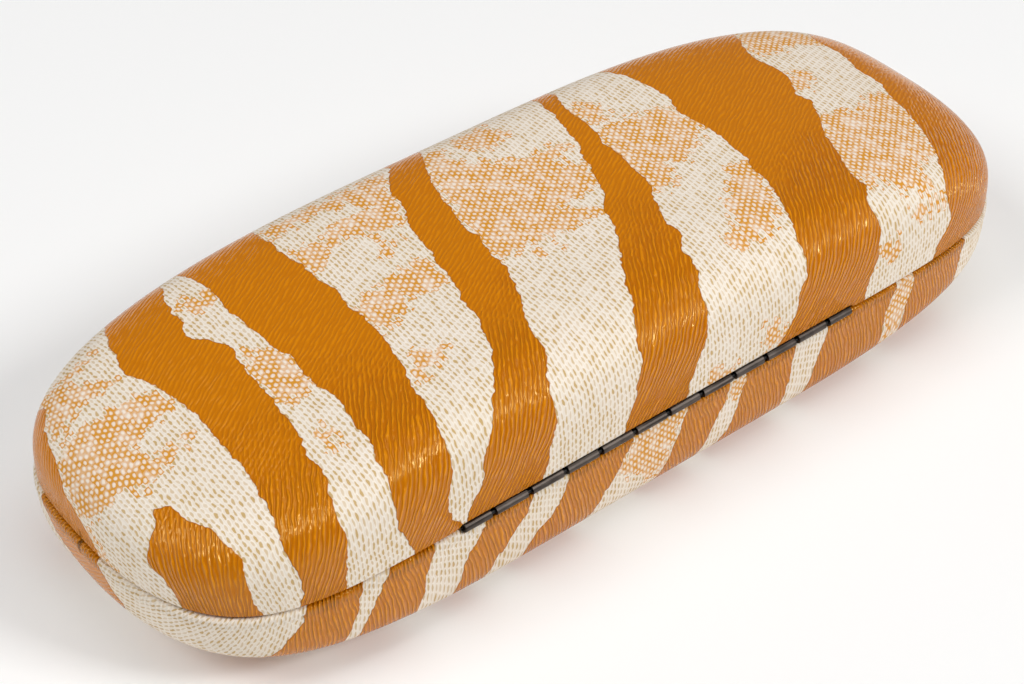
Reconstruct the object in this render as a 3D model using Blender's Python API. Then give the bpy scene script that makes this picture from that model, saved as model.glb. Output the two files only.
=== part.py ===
"""Hard clamshell eyeglasses case.

Two pressed-steel halves are wrapped in a textured cover, lined with moulded trays and joined along the
rear edge by a rolled hinge. Two C-shaped springs snap the lid shut. Metres, +Z up. The origin is under the
middle of the whole case, on the plane that it stands on. The hinge side is +Y and the length runs along X.
"""

import math
from dataclasses import dataclass

import bmesh
import bpy
from mathutils import Vector

# Overall size.
CASE_LENGTH = 0.160
CASE_WIDTH = 0.0604
LID_HEIGHT = 0.0174
BASE_DEPTH = 0.0162
LID_END_SETBACK = 0.0004

# Outline of the seam, as powers of a superellipse: 2 is an ellipse, more is squarer.
FRONT_POWER = 3.775
REAR_END_POWER = 9.4
REAR_SIDE_POWER = 2.125

# Layers, from the outside in.
COVER_THICKNESS = 0.0008
SHELL_THICKNESS = 0.0006
PAD_THICKNESS = 0.0010
LINER_THICKNESS = 0.0008
LAYER_GAP = 0.0003
LINER_STANDOFF = 0.0018
HEM_DEPTH = 0.0060
RIM_ROUNDING = 0.00035
SEAM_GAP = 0.0003
LINER_DROP = 0.0006

# Hinge.
KNUCKLE_COUNT = 12
KNUCKLE_PITCH = 0.00635
KNUCKLE_GAP = 0.0009
KNUCKLE_END_TRIM = 0.0010
HINGE_CENTRE_X = 0.0015
HINGE_OVERHANG = -0.0002
PIN_RADIUS = 0.00030
PIN_CLEARANCE = 0.00005
LEAF_THICKNESS = 0.00035
LEAF_DEPTH = 0.0076
LEAF_STANDOFF = 0.0005
LEAF_BEND_RADIUS = 0.0007
HINGE_CLEARANCE = 0.0003
NOTCH_END_CLEARANCE = 0.0004
NOTCH_END_TAPER = 0.0024

# Rivets that hold each leaf to its shell.
RIVET_SHANK_RADIUS = 0.0008
RIVET_HEAD_RADIUS = 0.0015
RIVET_HEAD_THICKNESS = 0.0004
RIVET_DROP = 0.0050
RIVET_END_MARGIN = 0.0048
RIVET_INNER_SPACING = 0.0160

# Snap springs.
SPRING_WIDTH = 0.0050
SPRING_THICKNESS = 0.00035
SPRING_END_MARGIN = 0.0173
SPRING_HALF_ANGLE = math.radians(60.0)
SPRING_BELLY = 0.0048
WINDOW_TOP = 0.0025
WINDOW_BOTTOM = 0.0064
SLOT_CLEARANCE = 0.0008

# Mesh fineness.
OUTLINE_POINTS = 56
DOME_RINGS = 6
DOME_RING_SPREAD = 1.3
PAD_FIRST_RING = 3
ROLL_STEPS = 12
ROUND_SIDES = 24
RIVET_SIDES = 12

# Places that follow from the sizes above.
HALF_LENGTH = CASE_LENGTH / 2
HALF_WIDTH = CASE_WIDTH / 2
BARREL_RADIUS = PIN_RADIUS + PIN_CLEARANCE + LEAF_THICKNESS
OUTLINE_Y = -(HINGE_OVERHANG + BARREL_RADIUS) / 2
HINGE_Y = OUTLINE_Y + HALF_WIDTH + HINGE_OVERHANG
SEAM_Z = BASE_DEPTH
BARREL_LENGTH = KNUCKLE_COUNT * KNUCKLE_PITCH - KNUCKLE_GAP - 2 * KNUCKLE_END_TRIM
RIVET_PLACES = tuple(
    side * place
    for place in (BARREL_LENGTH / 2 - RIVET_END_MARGIN, RIVET_INNER_SPACING / 2)
    for side in (-1, 1)
)
SPRING_PLACE = BARREL_LENGTH / 2 - SPRING_END_MARGIN
SHELL_INSET = COVER_THICKNESS + LAYER_GAP
HEM_INSET = SHELL_INSET + SHELL_THICKNESS + LAYER_GAP
LINER_INSET = SHELL_INSET + SHELL_THICKNESS + LINER_STANDOFF
PLATE_BACK = HINGE_OVERHANG + SHELL_INSET + SHELL_THICKNESS + LEAF_STANDOFF
PLATE_FRONT = PLATE_BACK + LEAF_THICKNESS
NOTCH_DEPTH = BARREL_RADIUS + HINGE_CLEARANCE
SPRING_END_Y = PLATE_FRONT + SPRING_THICKNESS / 2 + LAYER_GAP
SPRING_END_Z = SPRING_END_Y * math.tan(SPRING_HALF_ANGLE)


@dataclass(frozen=True)
class Half:
    """One half's outer form: a dome with a flat crown that stands on the seam plane.

    The powers say how boxy its profile is along the length and across it. Crown softening rounds the
    lengthwise profile near the crown. Side is +1 for the lid, which rises from the seam, and -1 for the
    base, which hangs from it.
    """

    side: int
    half_length: float
    height: float
    length_power: float
    width_power: float
    crown_softening: float
    crown_angle: float

    @property
    def rise_power(self):
        """Power of the profile's height term."""
        return (self.length_power + self.width_power) / 2

    def peak(self, inset):
        """Height that the dome would reach without its flat crown."""
        return (self.height - inset) / math.sin(self.crown_angle) ** (2 / self.rise_power)

    def angle_at(self, inset, rise):
        """Profile angle where the surface stands `rise` from the seam."""
        return math.asin((rise / self.peak(inset)) ** (self.rise_power / 2))

    def ring(self, inset, angle):
        """One closed ring of points, `inset` inside the outer surface, at a profile angle."""
        length_power = self.length_power + self.crown_softening * (2 * angle / math.pi) ** 2
        along = math.cos(angle) ** (2 / length_power)
        across = math.cos(angle) ** (2 / self.width_power)
        rise = self.peak(inset) * math.sin(angle) ** (2 / self.rise_power)
        points = []
        for turn in OUTLINE_TURNS:
            x, y = outline_point(self.half_length - inset, HALF_WIDTH - inset, turn)
            points.append(Vector((x * along, OUTLINE_Y + y * across, SEAM_Z + self.side * rise)))
        return points

    def level_ring(self, inset, rise):
        """The ring that stands `rise` from the seam plane."""
        return self.ring(inset, self.angle_at(inset, rise))

    def dome_rings(self, inset):
        """Rings from the top of the upright wall to the flat crown, at the same angles for every inset."""
        first = self.angle_at(0.0, HEM_DEPTH)
        span = self.crown_angle - first
        shares = [(i / DOME_RINGS) ** DOME_RING_SPREAD for i in range(DOME_RINGS + 1)]
        return [self.ring(inset, first + span * share) for share in shares]


def outline_point(half_length, half_width, turn):
    """Point of the seam outline at a turn angle: squarer towards the hinge, rounder at the front."""
    c = math.cos(turn)
    s = math.sin(turn)
    end_power, side_power = (REAR_END_POWER, REAR_SIDE_POWER) if s > 0 else (FRONT_POWER, FRONT_POWER)
    x = half_length * math.copysign(abs(c) ** (2 / end_power), c)
    y = half_width * math.copysign(abs(s) ** (2 / side_power), s)
    return x, y


def outline_turns():
    """Turn angles that space the outline's points evenly, and closer together where it bends."""
    steps = 7200
    straight_spacing = 0.012
    turns = [2 * math.pi * (i + 0.5) / steps for i in range(steps)]
    points = [Vector(outline_point(HALF_LENGTH, HALF_WIDTH, t)) for t in turns]
    weights = []
    for i in range(steps):
        before = points[i] - points[i - 1]
        after = points[(i + 1) % steps] - points[i]
        bend = abs(before.angle(after, 0.0))
        weights.append(after.length + straight_spacing * bend)
    total = sum(weights)
    chosen = []
    run = 0.0
    for turn, weight in zip(turns, weights):
        if run >= total * len(chosen) / OUTLINE_POINTS:
            chosen.append(turn)
        run += weight
    return chosen[:OUTLINE_POINTS]


OUTLINE_TURNS = outline_turns()
LID = Half(1, HALF_LENGTH - LID_END_SETBACK, LID_HEIGHT, 2.255, 5.278, 0.0, math.radians(81.0))
BASE = Half(-1, HALF_LENGTH, BASE_DEPTH, 1.10, 9.60, 0.90, math.radians(72.0))


def clear_scene():
    """Remove every object, so that the script starts from nothing."""
    for obj in list(bpy.data.objects):
        bpy.data.objects.remove(obj, do_unlink=True)


def finish(name, colour, roughness, metallic):
    """A Principled material."""
    material = bpy.data.materials.new(name)
    material.use_nodes = True
    shader = material.node_tree.nodes["Principled BSDF"]
    shader.inputs["Base Color"].default_value = (*colour, 1.0)
    shader.inputs["Roughness"].default_value = roughness
    shader.inputs["Metallic"].default_value = metallic
    return material


def add_object(name, bm, material, smooth=True):
    """Turn a bmesh into a named object with outward faces."""
    bmesh.ops.recalc_face_normals(bm, faces=bm.faces)
    mesh = bpy.data.meshes.new(name)
    bm.to_mesh(mesh)
    bm.free()
    mesh.materials.append(material)
    if smooth:
        mesh.shade_smooth()
        mesh.set_sharp_from_angle(angle=math.radians(40.0))
    obj = bpy.data.objects.new(name, mesh)
    bpy.context.scene.collection.objects.link(obj)
    return obj


def loft(rings):
    """Closed body through equal rings, with its first and last rings filled."""
    bm = bmesh.new()
    rows = [[bm.verts.new(p) for p in ring] for ring in rings]
    count = len(rows[0])
    for lower, upper in zip(rows, rows[1:]):
        for i in range(count):
            j = (i + 1) % count
            bm.faces.new((lower[i], lower[j], upper[j], upper[i]))
    bm.faces.new(rows[0])
    bm.faces.new(rows[-1])
    return bm


def box(name, low, high):
    """A cutter box between two corners."""
    bm = bmesh.new()
    bmesh.ops.create_cube(bm, size=1.0)
    for vert in bm.verts:
        for axis in range(3):
            vert.co[axis] = high[axis] if vert.co[axis] > 0 else low[axis]
    return add_cutter(name, bm)


def add_cutter(name, bm):
    """A cutter object, left out of the model itself."""
    cutter = add_object(name, bm, STEEL, smooth=False)
    cutter.hide_render = True
    cutter.display_type = "WIRE"
    return cutter


def cut(obj, cutters):
    """Cut each cutter out of the object."""
    for cutter in cutters:
        modifier = obj.modifiers.new(cutter.name, "BOOLEAN")
        modifier.operation = "DIFFERENCE"
        modifier.solver = "EXACT"
        modifier.object = cutter


def hinge_x(place):
    """World x of a place along the hinge."""
    return HINGE_CENTRE_X + place


def make_cover(name, half, material):
    """Cover skin: the outer wrap, rolled over the rim and turned in as a hem."""
    top = SEAM_GAP / 2
    roll = RIM_ROUNDING
    outer = half.dome_rings(0.0)[::-1]
    outer.append(half.level_ring(0.0, top + roll))
    outer.append(half.level_ring(roll * 0.3, top + roll * 0.3))
    outer.append(half.level_ring(roll, top))
    hem_inner = HEM_INSET + COVER_THICKNESS
    hem = [
        half.level_ring(hem_inner - roll, top),
        half.level_ring(hem_inner, top + roll),
        half.level_ring(hem_inner, HEM_DEPTH),
        half.level_ring(HEM_INSET, HEM_DEPTH),
        half.level_ring(HEM_INSET, top + COVER_THICKNESS),
    ]
    inner = [half.level_ring(COVER_THICKNESS, top + COVER_THICKNESS)]
    inner += half.dome_rings(COVER_THICKNESS)
    cover = add_object(name, loft(outer + hem + inner), material)
    cut(cover, [notch_cutter(name, half), hem_cutter(name, half)])
    return cover


def notch_cutter(name, half):
    """Tapered notch in the rim that the barrel lies in."""
    inner_x = BARREL_LENGTH / 2 + NOTCH_END_CLEARANCE
    outer_x = inner_x + NOTCH_END_TAPER
    past_seam = SEAM_GAP
    seam_corners = [(-outer_x, -past_seam), (outer_x, -past_seam)]
    corners = [*seam_corners, (inner_x, NOTCH_DEPTH), (-inner_x, NOTCH_DEPTH)]
    low_y = HINGE_Y - LINER_INSET - LINER_THICKNESS
    high_y = HINGE_Y + BARREL_RADIUS
    rings = []
    for y in (low_y, high_y):
        rings.append([Vector((hinge_x(x), y, SEAM_Z + half.side * rise)) for x, rise in corners])
    return add_cutter(name + "_notch", loft(rings))


def hem_cutter(name, half):
    """Clears the hem behind the hinge leaf, and leaves the outer wall."""
    reach = BARREL_LENGTH / 2 + NOTCH_END_CLEARANCE + LAYER_GAP
    y_low = HINGE_Y - LINER_INSET - LINER_THICKNESS
    y_high = HINGE_Y - HINGE_OVERHANG - (COVER_THICKNESS + SHELL_INSET) / 2
    z_ends = sorted((SEAM_Z, SEAM_Z + half.side * (HEM_DEPTH + LAYER_GAP)))
    return box(name + "_hem_gap", (hinge_x(-reach), y_low, z_ends[0]), (hinge_x(reach), y_high, z_ends[1]))


def make_wall(name, half, inset, thickness, rim_rise, material):
    """Plain dished body with one rim, such as a shell, a pad or a liner tray."""
    outer = half.dome_rings(inset)[::-1]
    outer.append(half.level_ring(inset, rim_rise))
    inner = [half.level_ring(inset + thickness, rim_rise)]
    inner += half.dome_rings(inset + thickness)
    return add_object(name, loft(outer + inner), material)


def make_pad(name, half, material):
    """Thin foam pad between the shell's flat part and the tray."""
    outer = half.dome_rings(HEM_INSET)[PAD_FIRST_RING:][::-1]
    inner = half.dome_rings(HEM_INSET + PAD_THICKNESS)[PAD_FIRST_RING:]
    return add_object(name, loft(outer + inner), material)


def make_half(prefix, half, cover_finish):
    """Cover, shell, pad and liner tray of one half."""
    make_cover(prefix + "_cover", half, cover_finish)
    shell_rim = SEAM_GAP / 2 + COVER_THICKNESS + LAYER_GAP
    shell = make_wall(prefix + "_shell", half, SHELL_INSET, SHELL_THICKNESS, shell_rim, STEEL)
    hole_radius = RIVET_SHANK_RADIUS + LAYER_GAP
    cut(shell, [rivet_hole_cutter(prefix + "_shell_hole", half, hole_radius)])
    make_pad(prefix + "_pad", half, FOAM)
    liner = make_wall(prefix + "_liner", half, LINER_INSET, LINER_THICKNESS, LINER_DROP, FLOCK)
    cut(liner, [spring_slot_cutter(prefix, half, place) for place in (-SPRING_PLACE, SPRING_PLACE)])


def spring_slot_cutter(prefix, half, place):
    """Slot from the tray's rim that a snap spring passes through."""
    reach = SPRING_WIDTH / 2 + SLOT_CLEARANCE
    y_low = HINGE_Y - SPRING_END_Y - SPRING_BELLY
    y_high = HINGE_Y - PLATE_FRONT - LAYER_GAP
    z_ends = sorted((SEAM_Z, SEAM_Z + half.side * (SPRING_END_Z + 2 * SLOT_CLEARANCE)))
    name = f"{prefix}_slot_{'left' if place < 0 else 'right'}"
    low = (hinge_x(place) - reach, y_low, z_ends[0])
    high = (hinge_x(place) + reach, y_high, z_ends[1])
    return box(name, low, high)


def round_rings(centre, stations, sides):
    """Rings of a turned body along Y: each station is (y, radius)."""
    x, z = centre
    rings = []
    for y, radius in stations:
        turns = [2 * math.pi * i / sides for i in range(sides)]
        rings.append([Vector((x + radius * math.cos(t), y, z + radius * math.sin(t))) for t in turns])
    return rings


def rivet_hole_cutter(name, half, radius):
    """Four drill-like cylinders through the rear wall, as one cutter."""
    y_low = HINGE_Y - LINER_INSET
    y_high = HINGE_Y + BARREL_RADIUS
    joined = bmesh.new()
    for place in RIVET_PLACES:
        centre = (hinge_x(place), SEAM_Z + half.side * RIVET_DROP)
        part = loft(round_rings(centre, ((y_low, radius), (y_high, radius)), RIVET_SIDES))
        mesh = bpy.data.meshes.new(name)
        part.to_mesh(mesh)
        part.free()
        joined.from_mesh(mesh)
        bpy.data.meshes.remove(mesh)
    return add_cutter(name, joined)


def make_rivets(prefix, half):
    """Rivets with their heads inside and their tails flush in the shell."""
    tail_y = HINGE_Y - HINGE_OVERHANG - SHELL_INSET - LAYER_GAP / 3
    seat_y = HINGE_Y - PLATE_FRONT - LAYER_GAP
    head_y = seat_y - RIVET_HEAD_THICKNESS
    stations = (
        (tail_y, RIVET_SHANK_RADIUS),
        (seat_y, RIVET_SHANK_RADIUS),
        (seat_y, RIVET_HEAD_RADIUS),
        (seat_y - RIVET_HEAD_THICKNESS / 2, RIVET_HEAD_RADIUS),
        (head_y, RIVET_HEAD_RADIUS * 0.7),
    )
    for number, place in enumerate(RIVET_PLACES, 1):
        centre = (hinge_x(place), SEAM_Z + half.side * RIVET_DROP)
        rings = round_rings(centre, stations, RIVET_SIDES)
        add_object(f"{prefix}_leaf_rivet_{number}", loft(rings), STEEL)


def leaf_path(side):
    """Middle line of the leaf's section about the hinge axis, from its lower edge to the end of the roll."""
    mid_radius = BARREL_RADIUS - LEAF_THICKNESS / 2
    plate_y = -(PLATE_BACK + PLATE_FRONT) / 2
    bend_top = mid_radius + LEAF_BEND_RADIUS
    path = [(plate_y, LEAF_DEPTH), (plate_y, WINDOW_BOTTOM), (plate_y, WINDOW_TOP), (plate_y, bend_top)]
    half_bend = math.radians(45.0)
    bend_y = plate_y + LEAF_BEND_RADIUS * (1 - math.cos(half_bend))
    path.append((bend_y, bend_top - LEAF_BEND_RADIUS * math.sin(half_bend)))
    path.append((plate_y + LEAF_BEND_RADIUS, mid_radius))
    start = math.radians(90.0)
    sweep = math.radians(285.0)
    for i in range(ROLL_STEPS + 1):
        turn = start - sweep * i / ROLL_STEPS
        path.append((mid_radius * math.cos(turn), mid_radius * math.sin(turn)))
    return [(y, side * rise) for y, rise in path]


def offset_path(path, distance):
    """The path moved sideways by a distance, with mitred corners."""
    points = [Vector(p) for p in path]
    moved = []
    for i, point in enumerate(points):
        before = (point - points[i - 1]).normalized() if i else None
        after = (points[i + 1] - point).normalized() if i + 1 < len(points) else None
        first = before or after
        second = after or before
        normal = (Vector((-first.y, first.x)) + Vector((-second.y, second.x))).normalized()
        stretch = normal.dot(Vector((-first.y, first.x)))
        moved.append(point + normal * distance / stretch)
    return moved


def bent_sheet(path, thickness, x_edges, is_there):
    """Sheet metal that follows a path in Y and Z, with columns along X.

    `is_there(row, column)` says whether a cell of the sheet exists, which leaves windows and fingers.
    """
    faces_of = [offset_path(path, thickness / 2), offset_path(path, -thickness / 2)]
    rows = range(len(path) - 1)
    columns = range(len(x_edges) - 1)
    cells = {(r, c) for r in rows for c in columns if is_there(r, c)}
    bm = bmesh.new()
    corners = {}

    def corner(row, column, layer):
        key = (row, column, layer)
        if key not in corners:
            point = faces_of[layer][row]
            corners[key] = bm.verts.new((x_edges[column], HINGE_Y + point.x, SEAM_Z + point.y))
        return corners[key]

    for r, c in cells:
        for layer in (0, 1):
            bm.faces.new([corner(i, j, layer) for i, j in ((r, c), (r, c + 1), (r + 1, c + 1), (r + 1, c))])
        sides = (
            ((r - 1, c), (r, c), (r, c + 1)),
            ((r + 1, c), (r + 1, c), (r + 1, c + 1)),
            ((r, c - 1), (r, c), (r + 1, c)),
            ((r, c + 1), (r, c + 1), (r + 1, c + 1)),
        )
        for neighbour, first, second in sides:
            if neighbour not in cells:
                bm.faces.new((corner(*first, 0), corner(*second, 0), corner(*second, 1), corner(*first, 1)))
    return bm


def make_leaf(name, half, first_knuckle):
    """Hinge leaf: a plate with two spring windows and every second knuckle of the barrel."""
    start, end = hinge_x(-BARREL_LENGTH / 2), hinge_x(BARREL_LENGTH / 2)
    knuckles = []
    for i in range(first_knuckle, KNUCKLE_COUNT, 2):
        low = start - KNUCKLE_END_TRIM + i * KNUCKLE_PITCH
        high = low + KNUCKLE_PITCH - KNUCKLE_GAP
        knuckles.append((max(low, start), min(high, end)))
    reach = SPRING_WIDTH / 2 + SLOT_CLEARANCE
    windows = [(hinge_x(place) - reach, hinge_x(place) + reach) for place in (-SPRING_PLACE, SPRING_PLACE)]
    x_edges = sorted({start, end, *(x for pair in knuckles + windows for x in pair)})
    path = leaf_path(half.side)
    window_row = 1
    plate_rows = 3

    def is_there(row, column):
        middle = (x_edges[column] + x_edges[column + 1]) / 2
        if row == window_row:
            return not any(low < middle < high for low, high in windows)
        if row < plate_rows:
            return True
        return any(low < middle < high for low, high in knuckles)

    leaf = add_object(name, bent_sheet(path, LEAF_THICKNESS, x_edges, is_there), HINGE_STEEL)
    cut(leaf, [rivet_hole_cutter(name + "_hole", half, RIVET_SHANK_RADIUS + LAYER_GAP)])
    return leaf


def make_pin():
    """Hinge pin through all the knuckles, a little shorter than the barrel."""
    length = BARREL_LENGTH - KNUCKLE_GAP
    rings = []
    for end in (-length / 2, length / 2):
        turns = [2 * math.pi * i / ROUND_SIDES for i in range(ROUND_SIDES)]
        ring = []
        for t in turns:
            y = HINGE_Y + PIN_RADIUS * math.cos(t)
            z = SEAM_Z + PIN_RADIUS * math.sin(t)
            ring.append(Vector((hinge_x(end), y, z)))
        rings.append(ring)
    return add_object("hinge_pin", loft(rings), HINGE_STEEL)


def make_spring(name, place):
    """C-shaped flat spring, its origin on the pivot at its lower end."""
    radius = (SPRING_END_Z**2 + SPRING_BELLY**2) / (2 * SPRING_BELLY)
    centre_y = -SPRING_END_Y - SPRING_BELLY + radius
    half_sweep = math.asin(SPRING_END_Z / radius)
    if SPRING_BELLY > radius:
        half_sweep = math.pi - half_sweep
    steps = 16
    path = []
    for i in range(steps + 1):
        turn = math.pi + half_sweep - 2 * half_sweep * i / steps
        path.append((centre_y + radius * math.cos(turn), radius * math.sin(turn)))
    x_edges = (hinge_x(place) - SPRING_WIDTH / 2, hinge_x(place) + SPRING_WIDTH / 2)
    bm = bent_sheet(path, SPRING_THICKNESS, x_edges, lambda row, column: True)
    pivot = Vector((hinge_x(place), HINGE_Y - SPRING_END_Y, SEAM_Z - SPRING_END_Z))
    bmesh.ops.translate(bm, verts=bm.verts, vec=-pivot)
    spring = add_object(name, bm, SPRING_STEEL)
    spring.location = pivot
    return spring


clear_scene()
COVER = finish("printed_cover", (0.72, 0.40, 0.12), 0.45, 0.0)
STEEL = finish("plain_steel", (0.55, 0.55, 0.56), 0.40, 1.0)
FOAM = finish("grey_foam", (0.45, 0.45, 0.46), 0.95, 0.0)
FLOCK = finish("black_flock", (0.045, 0.035, 0.03), 0.95, 0.0)
HINGE_STEEL = finish("gunmetal", (0.16, 0.15, 0.145), 0.38, 1.0)
SPRING_STEEL = finish("spring_steel", (0.42, 0.42, 0.43), 0.30, 1.0)

make_half("base", BASE, COVER)
make_half("lid", LID, COVER)
make_leaf("base_hinge_leaf", BASE, 0)
make_leaf("lid_hinge_leaf", LID, 1)
make_pin()
make_rivets("base", BASE)
make_rivets("lid", LID)
make_spring("snap_spring_left", -SPRING_PLACE)
make_spring("snap_spring_right", SPRING_PLACE)
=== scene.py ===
"""Looks of a hard clamshell eyeglasses case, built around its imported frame.

Metres, +Z up, the hinge towards +Y and the case's length along X. Cloth places are in millimetres on the
flat cover sheet: u runs along the length, v runs across it towards the hinge, and 0, 0 is the crown.
"""

import logging
import math
from dataclasses import dataclass, field
from enum import Enum
from typing import Any

import bpy
import numpy as np
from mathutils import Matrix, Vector


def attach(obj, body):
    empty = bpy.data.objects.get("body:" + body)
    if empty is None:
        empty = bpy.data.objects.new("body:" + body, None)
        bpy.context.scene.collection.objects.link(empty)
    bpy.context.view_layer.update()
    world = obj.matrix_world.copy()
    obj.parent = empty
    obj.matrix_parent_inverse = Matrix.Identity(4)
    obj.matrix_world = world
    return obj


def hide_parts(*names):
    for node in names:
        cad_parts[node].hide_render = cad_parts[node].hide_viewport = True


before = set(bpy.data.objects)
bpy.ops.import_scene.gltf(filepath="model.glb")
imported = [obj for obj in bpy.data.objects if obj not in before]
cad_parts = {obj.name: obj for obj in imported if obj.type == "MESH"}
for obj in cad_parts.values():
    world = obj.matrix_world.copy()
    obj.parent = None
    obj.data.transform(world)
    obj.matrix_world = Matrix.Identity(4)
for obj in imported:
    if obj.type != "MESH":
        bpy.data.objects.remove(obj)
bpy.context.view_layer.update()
LOG = logging.getLogger("glasses_case")
MM = 0.001

Points = tuple[tuple[float, float], ...]
Colour = tuple[float, float, float]


class Operation(Enum):
    """The Math node's operations that are used."""

    SUM = "ADD"
    DIFFERENCE = "SUBTRACT"
    PRODUCT = "MULTIPLY"
    QUOTIENT = "DIVIDE"
    WHOLE = "FLOOR"
    FRACTION = "FRACT"
    SINE = "SINE"
    LEAST = "MINIMUM"


class Mixing(Enum):
    """Ways to mix two colours."""

    COVER = "MIX"
    MULTIPLY = "MULTIPLY"


class Half(Enum):
    """The case's halves, and which way each rises from the seam."""

    LID = 1
    BASE = -1


class Signal:
    """A socket's output that takes part in Python expressions."""

    def __init__(self, socket: bpy.types.NodeSocket) -> None:
        """Wrap one output socket."""
        self.socket = socket

    def maths(self, operation: Operation, *operands: "Signal | float") -> "Signal":
        """Add a Math node that works on the operands.

        Args:
            operation: the Math node's operation.
            operands: signals or numbers, in the node's order.

        Returns:
            The node's result.
        """
        tree = self.socket.id_data
        node = tree.nodes.new("ShaderNodeMath")
        node.operation = operation.value
        for slot, operand in zip(node.inputs, operands):
            if isinstance(operand, Signal):
                tree.links.new(operand.socket, slot)
            else:
                slot.default_value = operand
        return Signal(node.outputs[0])

    def __add__(self, other: "Signal | float") -> "Signal":
        """Sum."""
        return self.maths(Operation.SUM, self, other)

    def __radd__(self, other: float) -> "Signal":
        """Sum with a number first."""
        return self.maths(Operation.SUM, other, self)

    def __sub__(self, other: "Signal | float") -> "Signal":
        """Difference."""
        return self.maths(Operation.DIFFERENCE, self, other)

    def __rsub__(self, other: float) -> "Signal":
        """Difference with a number first."""
        return self.maths(Operation.DIFFERENCE, other, self)

    def __mul__(self, other: "Signal | float") -> "Signal":
        """Product."""
        return self.maths(Operation.PRODUCT, self, other)

    def __rmul__(self, other: float) -> "Signal":
        """Product with a number first."""
        return self.maths(Operation.PRODUCT, other, self)

    def __truediv__(self, other: "Signal | float") -> "Signal":
        """Quotient."""
        return self.maths(Operation.QUOTIENT, self, other)

    def floor(self) -> "Signal":
        """Whole part, rounded down."""
        return self.maths(Operation.WHOLE, self)

    def fraction(self) -> "Signal":
        """What is left over the whole part."""
        return self.maths(Operation.FRACTION, self)

    def sine(self) -> "Signal":
        """Sine of an angle in radians."""
        return self.maths(Operation.SINE, self)

    def least(self, other: "Signal | float") -> "Signal":
        """The smaller of the two."""
        return self.maths(Operation.LEAST, self, other)

    def step(self, low: float, high: float) -> "Signal":
        """Smooth step from 0 at `low` to 1 at `high`.

        Args:
            low: where the step starts.
            high: where the step ends.

        Returns:
            The stepped value.
        """
        tree = self.socket.id_data
        node = tree.nodes.new("ShaderNodeMapRange")
        node.interpolation_type = "SMOOTHSTEP"
        tree.links.new(self.socket, node.inputs["Value"])
        node.inputs["From Min"].default_value = low
        node.inputs["From Max"].default_value = high
        return Signal(node.outputs[0])


class Dressing:
    """Builds one node material around a Principled shader."""

    def __init__(self, name: str, **uniform: float | Colour) -> None:
        """Start a material.

        Args:
            name: the material's name.
            uniform: what is the same all over, by socket name with _ for each space.
        """
        self.material = bpy.data.materials.new(name)
        self.material.use_nodes = True
        self.tree = self.material.node_tree
        self.shader = self.tree.nodes["Principled BSDF"]
        for key, value in uniform.items():
            self._set(self.shader.inputs[key.replace("_", " ")], value)

    def _set(self, socket: bpy.types.NodeSocket, value: Any) -> None:
        """Give a socket a link, a number, a vector or a colour.

        Args:
            socket: the input socket.
            value: a signal or what the socket holds.
        """
        if isinstance(value, Signal):
            self.tree.links.new(value.socket, socket)
        elif socket.type == "RGBA" and len(value) == 3:
            socket.default_value = (*value, 1.0)
        else:
            socket.default_value = value

    def node(
        self,
        kind: str,
        settings: dict[str, Any] | None = None,
        inputs: dict[str | int, Any] | None = None,
        output: str | int = 0,
    ) -> Signal:
        """Add any node.

        Args:
            kind: the node's type, without its ShaderNode prefix.
            settings: the node's own settings, which are set first.
            inputs: values or links of its sockets, by name or place.
            output: the output that is wanted.

        Returns:
            The output as a signal.
        """
        node = self.tree.nodes.new("ShaderNode" + kind)
        for key, value in (settings or {}).items():
            setattr(node, key, value)
        for key, value in (inputs or {}).items():
            self._set(node.inputs[key], value)
        return Signal(node.outputs[output])

    def blend(
        self, factor: Signal | float, first: Any, second: Any, mixing: Mixing = Mixing.COVER
    ) -> Signal:
        """Mix two colours.

        Args:
            factor: share of the second colour.
            first: colour or signal.
            second: colour or signal.
            mixing: how the second goes onto the first.

        Returns:
            The mixed colour.
        """
        settings = {"data_type": "RGBA", "blend_type": mixing.value}
        return self.node("Mix", settings, {0: factor, 6: first, 7: second}, 2)

    def field(self, name: str, output: str = "Fac") -> Signal:
        """A value that is stored on the mesh."""
        return self.node("Attribute", {"attribute_name": name}, output=output)

    def split(self, vector: Signal) -> tuple[Signal, Signal, Signal]:
        """The three parts of a vector.

        Args:
            vector: the vector.

        Returns:
            Its X, Y and Z.
        """
        node = self.tree.nodes.new("ShaderNodeSeparateXYZ")
        self.tree.links.new(vector.socket, node.inputs[0])
        return Signal(node.outputs[0]), Signal(node.outputs[1]), Signal(node.outputs[2])

    def vector(self, x: Signal | float, y: Signal | float, z: Signal | float = 0.0) -> Signal:
        """A vector from three parts."""
        return self.node("CombineXYZ", None, {0: x, 1: y, 2: z})

    def noise(self, place: Signal, scale: float, detail: float = 2.0, rough: float = 0.5) -> Signal:
        """Soft noise around 0.5 at a place."""
        inputs = {"Vector": place, "Scale": scale, "Detail": detail, "Roughness": rough}
        return self.node("TexNoise", None, inputs)

    def chance(self, place: Signal) -> Signal:
        """A fixed number from 0 to 1 for each whole-numbered place."""
        return self.node("TexWhiteNoise", {"noise_dimensions": "3D"}, {"Vector": place})

    def bump(self, height: Signal, distance: float, strength: float = 1.0) -> Signal:
        """Relief from a height field.

        Args:
            height: the height, from 0 to 1.
            distance: what a height of 1 stands for, in metres.
            strength: share of the relief that shows.

        Returns:
            The bent normal.
        """
        return self.node("Bump", None, {"Height": height, "Distance": distance, "Strength": strength})

    def dress(self, **varying: Signal) -> bpy.types.Material:
        """Connect what varies over the surface.

        Args:
            varying: signals by socket name with _ for each space.

        Returns:
            The finished material.
        """
        for key, value in varying.items():
            self.tree.links.new(value.socket, self.shader.inputs[key.replace("_", " ")])
        return self.material


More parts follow.
